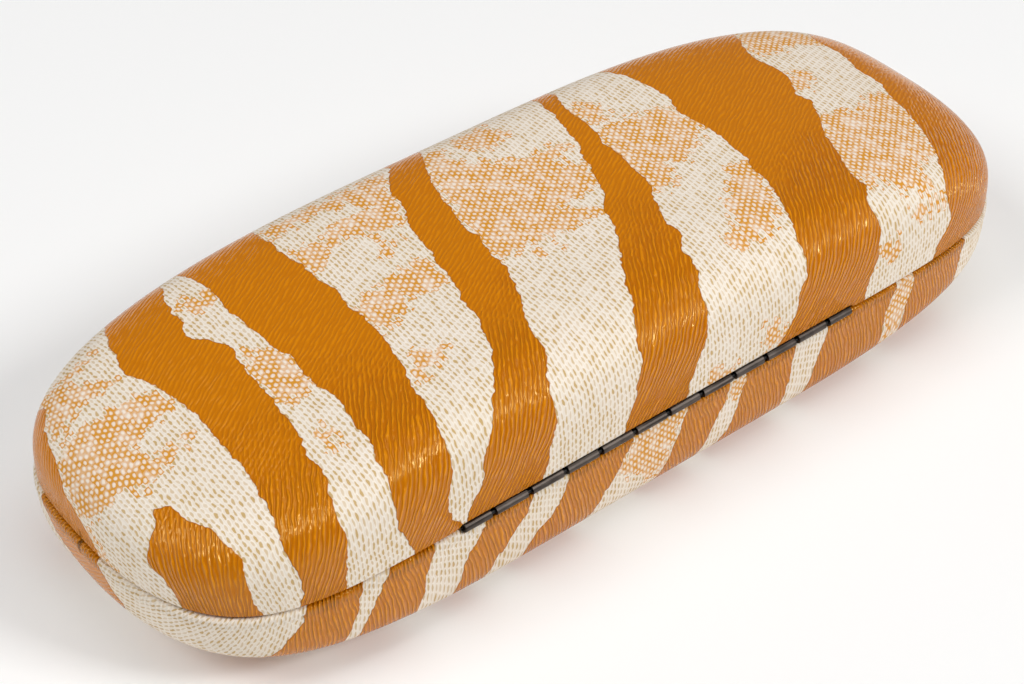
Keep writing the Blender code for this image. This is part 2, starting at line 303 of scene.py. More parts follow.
@dataclass(frozen=True)
class PrintedCover:
    """Woven-look cover sheet with glossy ridged stripes printed on it. Sizes in millimetres."""

    name: str
    grain_low: float
    grain_high: float
    thread: Colour = (0.930, 0.845, 0.760)
    aged_thread: Colour = (0.895, 0.815, 0.725)
    # painted shade for the sides of each thread column, where the threads curve down
    thread_side_shade: Colour = (0.66, 0.56, 0.44)
    slub: Colour = (0.79, 0.66, 0.52)
    dash: Colour = (0.570, 0.385, 0.175)
    net: Colour = (0.690, 0.295, 0.030)
    # crest and groove: the grain's own tone plus painted highlight on the ridge tops and painted shade in
    # the grooves
    crest: Colour = (0.790, 0.268, 0.001)
    groove_tone_and_shade: Colour = (0.470, 0.125, 0.000)
    dull_print: Colour = (0.58, 0.185, 0.001)
    # painted shade along the inside of each stripe's raised edge
    stripe_edge_shade: Colour = (0.40, 0.115, 0.003)
    glint: Colour = (1.0, 0.84, 0.34)
    column: float = 0.70
    row: float = 1.18
    ridge: float = 0.68
    pleat_pitch: float = 0.64
    print_roughness: float = 0.17
    weave_roughness: float = 0.62
    relief: float = 0.00014

    def material(self) -> bpy.types.Material:
        """Build the cover's material.

        Returns:
            The material.
        """
        d = Dressing(self.name, Specular_IOR_Level=0.58, Specular_Tint=self.glint)
        cloth = d.field("cloth", "Vector")
        u, v, _ = d.split(cloth)
        stripe = self._stripe(d, cloth)
        printed = stripe.step(-0.06, 0.06)
        weave_colour, weave_height = self._weave(d, cloth, u, v)
        grain_colour, grain_height = self._grain(d, cloth, u, v, stripe)
        pleat = self._pleats(d) * (printed * 0.6 + 0.4)
        colour = d.blend(printed, weave_colour, grain_colour)
        shade = 1 - 0.28 * pleat
        colour = d.blend(1.0, colour, d.vector(shade, shade, shade), Mixing.MULTIPLY)
        printed_height = (grain_height * 1.35 + 0.60) * stripe.step(-0.10, 0.16)
        height = weave_height * 0.30 * (1 - printed) + printed_height
        normal = d.bump(height - pleat * 0.9, self.relief)
        rough = printed * (self.print_roughness - self.weave_roughness) + self.weave_roughness
        return d.dress(Base_Color=colour, Roughness=rough, Normal=normal)

    def _stripe(self, d: Dressing, cloth: Signal) -> Signal:
        """Distance inside a stripe's edge, with the ragged edge of a torn print.

        Args:
            d: the material being built.
            cloth: place on the sheet.

        Returns:
            The distance in millimetres, positive inside a stripe.
        """
        wide = d.noise(cloth, 0.30, 1.0) - 0.5
        fine = d.noise(cloth, 0.80, 1.0) - 0.5
        return d.field("stripe") + wide * 1.1 + fine * 0.9

    def _weave(self, d: Dressing, cloth: Signal, u: Signal, v: Signal) -> tuple[Signal, Signal]:
        """Pale thread ground with tan dashes and painted shade at the sides of each thread column, and the
        orange net of the darker patches.

        Args:
            d: the material being built.
            cloth: place on the sheet.
            u: its length part.
            v: its width part.

        Returns:
            Colour and height.
        """
        slow_sway = (d.noise(cloth, 0.25, 1.0) - 0.5) * 0.6
        sway = slow_sway + (d.noise(cloth, 0.9, 2.0) - 0.5) * 0.55
        across = (u + sway) / self.column
        up = (v + sway) / self.row
        lane = across.floor()
        x = across.fraction() - 0.5
        dash_up = up - lane * 0.25
        dash_y = dash_up.fraction() - 0.5
        dash_chance = d.chance(d.vector(lane, dash_up.floor(), 3.0))
        dash = (x * x * 13.0 + dash_y * dash_y * 4.2).step(1.25, 0.25) * (dash_chance * 0.75 + 0.45)
        net_up = up - lane * 0.5
        net_y = net_up.fraction() - 0.5
        net_chance = d.chance(d.vector(lane, net_up.floor(), 7.0))
        oval = (x * x * 6.0 + net_y * net_y * 8.0).step(1.35, 0.15)
        worn = d.noise(cloth, 0.33, 3.0, 0.6)
        ragged = (net_chance - 0.5) * 2.2 + (d.noise(cloth, 0.5, 2.0) - 0.5) * 3.0
        inside = d.field("net") + ragged
        netted = inside.step(-0.15, 0.15)
        tint = d.noise(cloth, 0.06, 2.0)
        pale = d.blend(tint.step(0.35, 0.65), self.thread, self.aged_thread)
        # painted shade at the sides of each thread column, where the threads curve down
        pale = d.blend((x * x * 4.0).least(1.0) * 0.30, pale, self.thread_side_shade)
        pale = d.blend(dash_chance.step(0.45, 0.95) * 0.40, pale, self.slub)
        plain = d.blend(dash.least(1.0), pale, self.dash)
        lines = (1 - oval * 0.84) * (net_chance * 0.55 + worn.step(0.30, 0.60) * 0.45 + 0.28)
        meshed = d.blend(lines.least(1.0), self.thread, self.net)
        colour = d.blend(netted, plain, meshed)
        thread_height = 1 - x * x * 3.2
        height = thread_height * (1 - dash * 0.7) * (1 - netted) + netted * (oval * 0.9 + 0.1)
        return colour, height

    def _grain(
        self, d: Dressing, cloth: Signal, u: Signal, v: Signal, stripe: Signal
    ) -> tuple[Signal, Signal]:
        """Fine wandering ridges of the printed stripes, with painted highlight on their crests and painted
        shade in their grooves.

        Args:
            d: the material being built.
            cloth: place on the sheet.
            u: its length part.
            v: its width part.
            stripe: distance inside the stripe's edge.

        Returns:
            Colour and height.
        """
        low = self._ridges(d, u, v, self.grain_low, 11.0)
        high = self._ridges(d, u, v, self.grain_high, 5.0)
        turn = (v + (d.noise(cloth, 0.08, 1.0) - 0.5) * 30.0).step(2.0, 20.0)
        crest = low * (1 - turn) + high * turn
        patch = d.noise(cloth, 0.10, 2.0)
        # crest and groove colours mix the grain's tone with painted highlight and painted shade, stronger on
        # the bend towards the hinge
        ridge_tone_and_painted_light = crest.step(0.10, 0.95) * (turn * 0.45 + 0.40) + (1 - turn) * 0.28 + 0.06
        colour = d.blend(ridge_tone_and_painted_light, self.groove_tone_and_shade, self.crest)
        colour = d.blend(patch.step(0.35, 0.75) * 0.35, colour, self.dull_print)
        # painted shade along the inside of each stripe's raised edge
        colour = d.blend(stripe.step(0.22, 0.0) * 0.5, colour, self.stripe_edge_shade)
        return colour, crest * (turn * 0.6 + 0.4)

    def _ridges(self, d: Dressing, u: Signal, v: Signal, degrees: float, seed: float) -> Signal:
        """Ridges that run at an angle to the length.

        Args:
            d: the material being built.
            u: length part of the place.
            v: width part of the place.
            degrees: angle of the ridges from the length.
            seed: sets this field apart from others.

        Returns:
            Height from 0 to 1.
        """
        cosine, sine = math.cos(math.radians(degrees)), math.sin(math.radians(degrees))
        along = u * cosine + v * sine
        across = v * cosine - u * sine
        drift = d.noise(d.vector(along * 0.20, across * 0.35, seed), 1.0, 2.0)
        fine = d.noise(d.vector(along * 0.38, across * 1.30, seed + 9.0), 1.0, 2.0)
        phase = across * (2 * math.pi / self.ridge) + drift * 9.0 + fine * 5.0
        wave = phase.sine() * 0.5 + 0.5
        length = d.noise(d.vector(along * 0.55, across * 1.5, seed + 4.0), 1.0, 1.0).step(0.30, 0.62)
        return wave * (length * 0.65 + 0.35)

    def _pleats(self, d: Dressing) -> Signal:
        """Fine pleats where the sheet turns over the rim.

        Args:
            d: the material being built.

        Returns:
            Depth from 0 to 1.
        """
        away = d.field("rim_distance")
        around = d.field("rim_length")
        wobble = d.noise(d.vector(around * 0.4, away * 0.5, 2.0), 1.0, 2.0) - 0.5
        pleat = ((around / self.pleat_pitch + wobble * 1.2) * (2 * math.pi)).sine() * 0.5 + 0.5
        return pleat * away.step(1.7, 0.35) * d.field("pleated")


@dataclass(frozen=True)
class Flock:
    """Short velvet pile."""

    name: str
    colour: Colour
    lit: Colour

    def material(self) -> bpy.types.Material:
        """Build the pile's material.

        Returns:
            The material.
        """
        d = Dressing(
            self.name, Roughness=0.95, Sheen_Weight=0.55, Sheen_Roughness=0.35, Sheen_Tint=self.lit
        )
        place = d.node("TexCoord", output="Object")
        pile = d.noise(place, 2600.0, 3.0, 0.7)
        brushed = d.noise(place, 70.0, 2.0)
        shade = pile.step(0.30, 0.75) * 0.6 + brushed.step(0.35, 0.65) * 0.4
        colour = d.blend(shade, self.colour, self.lit)
        return d.dress(Base_Color=colour, Normal=d.bump(pile, 0.00015, 0.7))


@dataclass(frozen=True)
class Metal:
    """Plain sheet steel with drawn marks and small scratches."""

    name: str
    dark: Colour
    bright: Colour
    roughness: float
    stretch: tuple[float, float, float] = (120.0, 2500.0, 2500.0)

    def material(self) -> bpy.types.Material:
        """Build the metal's material.

        Returns:
            The material.
        """
        d = Dressing(self.name, Metallic=1.0)
        place = d.node("TexCoord", output="Object")
        x, y, z = d.split(place)
        drawn_place = d.vector(x * self.stretch[0], y * self.stretch[1], z * self.stretch[2])
        drawn = d.noise(drawn_place, 1.0, 3.0, 0.6)
        cloud = d.noise(place, 260.0, 3.0, 0.6)
        colour = d.blend(drawn.step(0.25, 0.75) * 0.5 + cloud.step(0.35, 0.7) * 0.5, self.dark, self.bright)
        rough = self.roughness + (drawn - 0.5) * 0.22 + (cloud - 0.5) * 0.30
        return d.dress(Base_Color=colour, Roughness=rough, Normal=d.bump(drawn, 0.00002, 0.6))


@dataclass(frozen=True)
class Foam:
    """Open-cell foam."""

    name: str
    colour: Colour

    def material(self) -> bpy.types.Material:
        """Build the foam's material.

        Returns:
            The material.
        """
        d = Dressing(self.name, Roughness=0.95)
        place = d.node("TexCoord", output="Object")
        cells = d.node("TexVoronoi", {"feature": "F1"}, {"Vector": place, "Scale": 1500.0}, "Distance")
        shade = tuple(c * 0.5 for c in self.colour)
        colour = d.blend(cells.step(0.2, 0.7), shade, self.colour)
        return d.dress(Base_Color=colour, Normal=d.bump(cells, 0.0002, 0.6))


@dataclass(frozen=True)
class Stripe:
    """A printed stripe: its two edges as (v, u) points, from the hinge side to the front."""

    left: Points
    right: Points

    def inside(self, u: np.ndarray, v: np.ndarray) -> np.ndarray:
        """Distance inside the stripe.

        Args:
            u: length places.
            v: width places.

        Returns:
            Millimetres, positive inside.
        """
        left_u, left_slope = self._edge(self.left, v)
        right_u, right_slope = self._edge(self.right, v)
        from_left = (u - left_u) / np.sqrt(1 + left_slope**2)
        from_right = (right_u - u) / np.sqrt(1 + right_slope**2)
        top = max(self.left[0][0], self.right[0][0])
        bottom = min(self.left[-1][0], self.right[-1][0])
        ends = np.minimum(top - v, v - bottom)
        return np.minimum(np.minimum(from_left, from_right), ends)

    @staticmethod
    def _edge(edge: Points, v: np.ndarray) -> tuple[np.ndarray, np.ndarray]:
        """Where an edge lies, and how it slants.

        Args:
            edge: (v, u) points with v falling.
            v: width places.

        Returns:
            The edge's u, and its slope.
        """
        places = np.array(edge[::-1], float)
        at = np.interp(v, places[:, 0], places[:, 1])
        ahead = np.interp(v + 0.8, places[:, 0], places[:, 1])
        behind = np.interp(v - 0.8, places[:, 0], places[:, 1])
        return (at + ahead + behind) / 3, np.clip((ahead - behind) / 1.6, -1.5, 1.5)


@dataclass(frozen=True)
class PrintLayout:
    """Where the stripes and the net patches lie on one half's cover sheet."""

    stripes: tuple[Stripe, ...]
    patches: tuple[Points, ...]

    def stripe_field(self, u: np.ndarray, v: np.ndarray) -> np.ndarray:
        """Distance inside the nearest stripe.

        Args:
            u: length places.
            v: width places.

        Returns:
            Millimetres, positive inside a stripe.
        """
        return np.maximum.reduce([stripe.inside(u, v) for stripe in self.stripes])

    def patch_field(self, u: np.ndarray, v: np.ndarray) -> np.ndarray:
        """Distance inside the nearest net patch.

        Args:
            u: length places.
            v: width places.

        Returns:
            Millimetres, positive inside a patch.
        """
        return np.maximum.reduce([self._polygon(patch, u, v) for patch in self.patches])

    @staticmethod
    def _polygon(corners: Points, u: np.ndarray, v: np.ndarray) -> np.ndarray:
        """Distance inside a polygon.

        Args:
            corners: (u, v) corners in order.
            u: length places.
            v: width places.

        Returns:
            Millimetres, positive inside.
        """
        nearest = np.full(u.shape, 1e9)
        inside = np.zeros(u.shape, bool)
        for (u0, v0), (u1, v1) in zip(corners, corners[1:] + corners[:1]):
            du, dv = u1 - u0, v1 - v0
            share = np.clip(((u - u0) * du + (v - v0) * dv) / (du * du + dv * dv), 0, 1)
            nearest = np.minimum(nearest, np.hypot(u - u0 - share * du, v - v0 - share * dv))
            crosses = (v0 > v) != (v1 > v)
            rise = np.where(dv == 0, 1e-9, dv)
            inside ^= crosses & (u < u0 + (v - v0) * du / rise)
        return np.where(inside, nearest, -nearest)


LID_PRINT = PrintLayout(
    stripes=(
        Stripe(
            ((44, -84), (20, -90), (0, -99), (-24, -99), (-34, -90), (-44, -84)),
            ((39, -54), (35, -55), (32.4, -57.7), (29.6, -56.3), (25, -59), (21, -61), (16, -63.4),
             (12, -65), (7, -66), (3, -68.1), (-2, -68), (-5, -69.3), (-9, -69.8), (-13, -69.4),
             (-16, -71), (-24, -75), (-34, -73), (-44, -77)),
        ),
        Stripe(
            ((44, -37.5), (36.5, -38.6), (33, -40.3), (29.6, -41.6), (26.6, -41.1), (23.2, -43.8),
             (21.3, -43.1), (18.5, -44.1), (14.8, -45.9), (9.8, -48.1), (6.6, -50.3), (2.3, -53),
             (-0.3, -52.4), (-5, -55), (-8.4, -55.5), (-11.5, -54.7), (-15.6, -55.3), (-19, -57.5),
             (-23, -59.7), (-30, -62), (-37, -60.5), (-44, -62)),
            ((44, -18), (40, -20), (37.5, -22.5), (34.4, -23.8), (32.3, -24.1), (29.6, -26.3),
             (25.7, -26.7), (21.6, -28.8), (15.4, -30.9), (11, -31.9), (7, -33.1), (0, -33.8),
             (-5, -33.3), (-7.5, -33.1), (-10.3, -34.3), (-15, -34.5), (-19, -34.1), (-23.4, -33.1),
             (-30, -32), (-37, -34.5), (-44, -37)),
        ),
        Stripe(
            ((44, -1.5), (38.5, -2.8), (34.8, -4.4), (31.6, -6.3), (27.9, -7.5), (25.4, -7.8),
             (22.6, -10), (18.5, -10.2), (17, -11.9), (15.3, -13), (12.9, -12.4), (9.8, -13.8),
             (7.3, -15), (4.8, -16.8), (1.6, -17.2), (-2.1, -18), (-5.9, -18.4), (-7.4, -17.6),
             (-10.3, -19.4), (-19, -19.8), (-24, -21.9), (-30, -23), (-36, -22), (-44, -25)),
            ((44, 10), (38.5, 9.1), (35.4, 7.5), (32.9, 7.2), (30.7, 5.5), (27.9, 5.5), (25.1, 4.1),
             (22.3, 1.9), (20.7, 1.7), (17.3, -0.3), (14.4, -2.5), (10.4, -5.3), (6, -7.2),
             (3.5, -8.1), (2.3, -10), (-0.3, -10.8), (-3.4, -12.5), (-7.1, -13.4), (-9.6, -15),
             (-12.8, -15.5), (-17.1, -16.9), (-24, -18.4), (-30, -19), (-36, -17), (-44, -19)),
        ),
        Stripe(
            ((44, 25.6), (36.6, 23.4), (32.9, 22.2), (29.6, 21.3), (27.3, 21.3), (24.8, 19.4),
             (22.3, 18.3), (19.1, 18.1), (14.8, 15.6), (11, 13.8), (7.3, 12.2), (2.3, 11.9),
             (-1.5, 10.9), (-4.6, 11.1), (-8.4, 10.1), (-13.4, 9.1), (-17.8, 7.5), (-24.3, 4.1),
             (-30, 2), (-36, 3), (-44, 1)),
            ((44, 38.2), (39.4, 37.9), (36, 36.9), (33.2, 34.5), (31, 34.4), (28.8, 31.9),
             (24.8, 28.8), (21.3, 25.9), (18.5, 24.4), (15.4, 23.1), (12.3, 21.9), (8.5, 21.3),
             (4.8, 20), (-0.3, 19.3), (-2.8, 18.1), (-7.1, 17.8), (-10.9, 16.6), (-14.6, 15),
             (-18.4, 14.4), (-20.9, 12.2), (-24, 10.3), (-30, 9), (-36, 11), (-44, 8)),
        ),
        Stripe(
            ((44, 37.6), (39.2, 38.2), (36, 40.6), (33.2, 40.5), (31, 39.5), (27.9, 38.6),
             (26, 38.6), (22.9, 37.8), (19.1, 37.2), (16, 36.6), (13.5, 35.2), (11, 35.3),
             (7.9, 34.1), (4.8, 34.4), (1.6, 33.6), (-1.5, 34.4), (-4.3, 33.3), (-8.4, 34.1),
             (-12.8, 33.8), (-16.5, 34.4), (-23.4, 34.3), (-30, 33.5), (-36, 35), (-44, 33)),
            ((44, 46), (39.1, 46.7), (36, 47.5), (33.5, 48.9), (30.4, 48.6), (26.6, 48.4),
             (24.1, 47.8), (21, 47), (17.9, 46.9), (14.1, 45.9), (10.4, 46.4), (6, 46.6),
             (2.3, 45.8), (-0.3, 46.8), (-5.3, 46.9), (-10.3, 47.3), (-17.1, 46.6), (-23.4, 47.2),
             (-30, 48), (-36, 46), (-44, 48)),
        ),
        Stripe(
            ((44, 59.5), (38.5, 58.1), (34.1, 57.4), (31, 56.4), (27.9, 56.6), (24.8, 55.6),
             (22.3, 54.7), (19.1, 54.7), (16, 53.9), (12.9, 53.1), (9.1, 52.8), (6, 52.1),
             (2.3, 52.2), (-2.1, 51.8), (-5.3, 50.8), (-8.4, 52.5), (-10.6, 54.4), (-12.8, 54.1),
             (-14.6, 52.8), (-17.1, 53.3), (-19.6, 52.5), (-23.4, 50.8), (-30, 49.5), (-44, 51)),
            ((44, 70), (36.6, 65.9), (34.1, 64.6), (31, 64.3), (27.9, 64.6), (24.8, 63.8),
             (21, 63.3), (17.3, 62.5), (13.5, 62), (8.5, 61.9), (5.4, 62), (2.3, 61.3),
             (-0.9, 61.7), (-5.3, 62.5), (-8.4, 63.3), (-11.5, 64.4), (-14.6, 63.9),
             (-17.8, 62.8), (-20.9, 62.2), (-24, 60.6), (-30, 59), (-36, 61), (-44, 60)),
        ),
        Stripe(
            ((44, 70), (34.1, 72.1), (31, 72.3), (27.9, 70.9), (24.8, 69.9), (21, 70), (17.9, 70.9),
             (14.8, 72), (11.6, 72.6), (9.8, 73.8)),
            ((44, 100), (26, 86), (22.6, 82.8), (21.3, 81.6), (19.1, 80.8), (17, 80), (14.4, 80.3),
             (13.6, 78.8), (13.3, 76.9), (12.6, 75.3), (11, 74.7), (9.8, 73.8)),
        ),
        Stripe(
            ((6.4, 89), (5.1, 87.5), (2.9, 84.7), (-0.3, 83.4), (-3.4, 82.2), (-6.5, 80.3),
             (-9.6, 79.1), (-13.4, 77.8), (-16.5, 75.9), (-18.4, 75.3), (-22, 76.5), (-30, 74.5),
             (-44, 73)),
            ((6.4, 110), (-44, 110)),
        ),
    ),
    patches=(
        ((-66, 11), (-66, 6), (-62, 5), (-58, 9), (-56, 6.5), (-50.5, 5.5), (-45, 15), (-43.5, 20),
         (-44.5, 25.5), (-47, 22), (-48, 26.5), (-54, 27.5), (-55, 24), (-60, 23)),
        ((-60, -4.5), (-55.5, -0.5), (-53, -1.5), (-54, -5), (-57.5, -6)),
        ((-70, -11), (-64, -13), (-58, -12), (-55.5, -14), (-57, -20), (-63, -25), (-70, -18)),
        ((-46, 34.5), (-40.5, 33.5), (-40.8, 31), (-45, 31.5)),
        ((-57, 30), (-50, 30.8), (-48, 29.6), (-56, 29)),
        ((-32.5, 8), (-31, 15), (-28.5, 20), (-24, 23), (-17, 23.8), (-16.5, 20.5), (-20.5, 19.5),
         (-22, 14.5), (-25.5, 13), (-27.5, 9)),
        ((-33.5, -2), (-29, 1.5), (-25.5, 3.5), (-23, 2), (-20.5, 6.5), (-16.5, 7.5), (-15.5, 1),
         (-17.5, -7), (-20, -10.5), (-26, -11), (-30.5, -10), (-33.5, -8.5)),
        ((-24.5, -13), (-20, -11.5), (-19, -17.5), (-22, -18.5), (-24, -16.5)),
        ((-22.5, 40), (-17.5, 40.5), (-17, 35.5), (-20, 35)),
        ((-12, 42.5), (-7, 42.5), (-7, 39), (-11.5, 39.5)),
        ((-7.5, 5), (-2, 5.3), (0.5, 6.2), (3.5, 5), (12, 5), (11.5, -3), (10, -9), (8.5, -15),
         (5.5, -22), (2, -24), (1, -17), (-2, -14.5), (-4.5, -12.5), (-8, -11.5), (-14, -12),
         (-15.5, -9.5), (-11, -9.7), (-9.5, -6.8), (-13.2, -6), (-12.5, -2), (-10.5, 0.3), (-3, 0.5),
         (-4, 2)),
        ((3, 8), (5.5, 7.8), (8, 6.2), (5, 6.5)),
        ((-8.5, -18.5), (-5, -17), (-1.5, -19), (-1, -23.5), (-7, -25), (-8, -21)),
        ((28, 13), (30.5, 16.5), (35.5, 17.5), (36, 15.5), (32.5, 12.3), (30, 13.5)),
        ((20.5, 4), (24, 4.2), (27, 2), (28.5, 5), (34.5, 7), (34, -0.5), (31, -2), (26, -1.5),
         (22.5, -3), (18.5, -2.5), (19.5, 1)),
        ((20, -8.5), (22.5, -9.5), (24.5, -6), (21.5, -7)),
        ((17, -11), (22, -11), (25.5, -13.5), (30, -12), (31, -10), (34, -9.5), (34, -16), (28.5, -15.5),
         (25, -17.5), (19, -17), (21, -20), (26, -21), (33.5, -21), (34, -24), (11, -24), (14.5, -18)),
        ((49.5, 20), (51.5, 19.5), (52, 16.5), (50, 15.5)),
        ((46.7, 8), (49, 9.5), (52.5, 8.5), (52, 0.5), (50.5, -4), (48, -2), (45.8, 2.5)),
        ((47, -13.5), (51, -14), (52, -17.5), (49, -18.5), (47, -17)),
        ((62.5, 4.5), (67, 6.5), (73.5, 7.3), (75, 5), (80, 4.5), (83.5, 1), (81.5, -4), (79.5, -8.5),
         (77.5, -9), (73, -8), (66, -7.5), (62.8, -5), (62, -2), (67.5, -0.5), (70.5, 0.5), (70, 3.5)),
        ((65, -11), (69, -12), (72.5, -11), (78, -11), (76.5, -16), (75, -19.5), (65, -19.5), (71, -17),
         (68, -13.5)),
        ((84, 1), (86, 9), (88.5, 4)),
        ((-30, -30), (-20, -33), (-22, -42), (-29, -40)),
        ((38, -46), (20, -42), (14, -33), (26, -30)),
    ),
)

BASE_PRINT = PrintLayout(
    stripes=(
        Stripe(
            ((44, -64.5), (36.6, -63.6), (33.5, -62.2), (31, -61.3), (22, -60), (10, -62), (-4, -59),
             (-18, -62), (-30, -60), (-44, -63)),
            ((44, -50.5), (38.2, -49.7), (34.8, -49.4), (31.3, -48), (22, -47), (10, -50), (-4, -47.5),
             (-18, -51), (-30, -49), (-44, -50)),
        ),
        Stripe(
            ((44, -47.5), (38.6, -45.9), (36, -44.4), (33.5, -43.4), (31, -44), (22, -41), (10, -43),
             (-4, -39), (-18, -41), (-30, -38), (-44, -39)),
            ((44, -32), (38.5, -30.9), (36, -30), (33.5, -29), (30.4, -28), (22, -26), (10, -25),
             (-4, -27), (-18, -22), (-30, -24), (-44, -22)),
        ),
        Stripe(
            ((44, -24.5), (39, -24), (36, -23.7), (32.9, -23.4), (30, -23), (22, -20), (10, -16),
             (-4, -17), (-18, -12), (-30, -13), (-44, -11)),
            ((44, -15), (39.4, -14), (36, -13), (32.9, -11.9), (30.4, -10), (22, -7), (10, -5),
             (-4, -8), (-18, -3), (-30, -2), (-44, -1)),
        ),
        Stripe(
            ((44, -12), (40, -10.6), (37.3, -9.7), (34.8, -8.1), (31.3, -6.6), (22, -1), (10, 3),
             (-4, 1), (-18, 5), (-30, 4), (-44, 7)),
            ((44, -2.8), (41.6, -2.2), (37.9, -0.9), (34.1, 0.6), (30.4, 2.2), (22, 8), (10, 12),
             (-4, 10), (-18, 15), (-30, 13), (-44, 15)),
        ),
        Stripe(
            ((44, 7), (40.4, 8.4), (37.3, 10), (34.8, 11.3), (32.3, 13.4), (30, 15), (22, 20),
             (10, 22), (-4, 20), (-18, 26), (-30, 24), (-44, 27)),
            ((44, 19), (39.1, 20), (36, 20.9), (33.5, 22.8), (30.7, 26.9), (22, 31), (10, 34),
             (-4, 31), (-18, 36), (-30, 35), (-44, 38)),
        ),
        Stripe(
            ((44, 25), (38.5, 26.3), (36, 27.5), (33.2, 30), (30, 33.8), (22, 38), (10, 41),
             (-4, 39), (-18, 43), (-30, 42), (-44, 44)),
            ((44, 33), (38.8, 34.4), (36.6, 35.6), (33.8, 37.5), (30.7, 39), (22, 44), (10, 47),
             (-4, 45), (-18, 50), (-30, 48), (-44, 50)),
        ),
        Stripe(
            ((44, 42.5), (38.5, 43.4), (36, 44), (33.5, 44.9), (31, 45.1), (22, 50), (10, 53),
             (-4, 50), (-18, 54), (-30, 53), (-44, 56)),
            ((44, 49), (37.9, 51.3), (35.4, 52.2), (32.9, 53.8), (30.4, 55.3), (22, 58), (10, 60),
             (-4, 58), (-18, 62), (-30, 60), (-44, 61)),
        ),
        Stripe(
            ((44, 55), (37.9, 55.3), (35.4, 55.6), (32.9, 56.3), (30.4, 57), (24, 61), (18, 66),
             (12, 70), (4, 73)),
            ((44, 64), (36.3, 65), (34.1, 65), (31.6, 66.3), (29.1, 67.5), (24, 70), (18, 72), (12, 73.5),
             (4, 75)),
        ),
        Stripe(
            ((9.4, 81), (7, 80), (4, 80.4), (-2, 82), (-8, 84), (-13, 87), (-17, 91)),
            ((9.4, 82), (8.5, 82.5), (7.3, 84), (5.1, 87.2), (2, 91), (-17, 96)),
        ),
        Stripe(
            ((14, -96), (8, -84), (-6, -80), (-20, -78), (-32, -80), (-44, -78)),
            ((14, -94), (10, -76), (-2, -72), (-16, -70), (-30, -71), (-44, -69)),
        ),
        Stripe(
            ((-8, 72), (-18, 69), (-30, 70), (-44, 68)),
            ((-8, 73), (-16, 80), (-30, 82), (-44, 80)),
        ),
    ),
    patches=(
        ((-50, 40), (-46.5, 40), (-44, 36), (-43, 33), (-44.5, 30), (-48, 30.5), (-49.5, 35)),
        ((-14.5, 42), (-11, 42), (-10, 38), (-13, 37)),
        ((-1.5, 43.5), (7.5, 43), (9.5, 39), (11, 35.5), (6, 33), (3, 31), (1, 33), (-0.5, 38)),
        ((-22, 20), (-9, 14), (-6, 6), (-16, 2), (-24, 10)),
        ((12, 12), (20, 6), (20, -6), (14, -12), (9, -2)),
        ((-58, -8), (-46, -12), (-44, -24), (-58, -22)),
        ((56, -10), (66, -6), (68, -22), (58, -26)),
        ((28, -24), (38, -22), (42, -36), (30, -38)),
        ((-36, -28), (-24, -26), (-22, -38), (-36, -40)),
    ),
)


@dataclass(frozen=True)
class Outline:
    """The seam's outline: columns of unit places on a superellipse, squarer towards the hinge."""

    front_power: float
    rear_end_power: float
    rear_side_power: float
    half_length: float
    half_width: float

    def columns(self, spacing: float, rear_stations: tuple[float, ...] = ()) -> np.ndarray:
        """Unit places round the outline, evenly spaced, with extra ones on the hinge side.

        Args:
            spacing: distance between columns in metres.
            rear_stations: places along X, from the outline's middle, that need a column.

        Returns:
            An array of (unit x, unit y), in order round the outline from the +X end.
        """
        dense = np.linspace(0.0, 1.0, 2001)
        rear = self._quarter(dense, self.rear_end_power, self.rear_side_power)
        front = self._quarter(dense, self.front_power, self.front_power)
        loop = np.vstack([
            rear,
            (rear * (-1, 1))[::-1][1:],
            (front * (-1, -1))[1:],
            (front * (1, -1))[::-1][1:],
        ])
        scale = np.array((self.half_length, self.half_width))
        run = np.concatenate([[0.0], np.cumsum(np.linalg.norm(np.diff(loop, axis=0) * scale, axis=1))])
        count = int(run[-1] / spacing)
        wanted = list(np.arange(count) * run[-1] / count)
        rear_x = loop[: 2 * len(rear) - 1, 0] * self.half_length
        for station in rear_stations:
            at = float(np.interp(-station, -rear_x, run[: len(rear_x)]))
            wanted = [w for w in wanted if abs(w - at) > spacing * 0.45] + [at]
        wanted = np.sort(np.array(wanted))
        return np.stack([np.interp(wanted, run, loop[:, axis]) for axis in (0, 1)], axis=1)

    @staticmethod
    def _quarter(dense: np.ndarray, end_power: float, side_power: float) -> np.ndarray:
        """A quarter of the outline, from the end to the side.

        Args:
            dense: rising shares from 0 to 1.
            end_power: power of the length term.
            side_power: power of the width term.

        Returns:
            Unit places.
        """
        knee = 0.8
        low_y = dense * knee
        low_x = (1 - low_y**side_power) ** (1 / end_power)
        high_x = low_x[-1] * (1 - dense[1:])
        high_y = (1 - high_x**end_power) ** (1 / side_power)
        return np.vstack([np.stack([low_x, low_y], 1), np.stack([high_x, high_y], 1)])


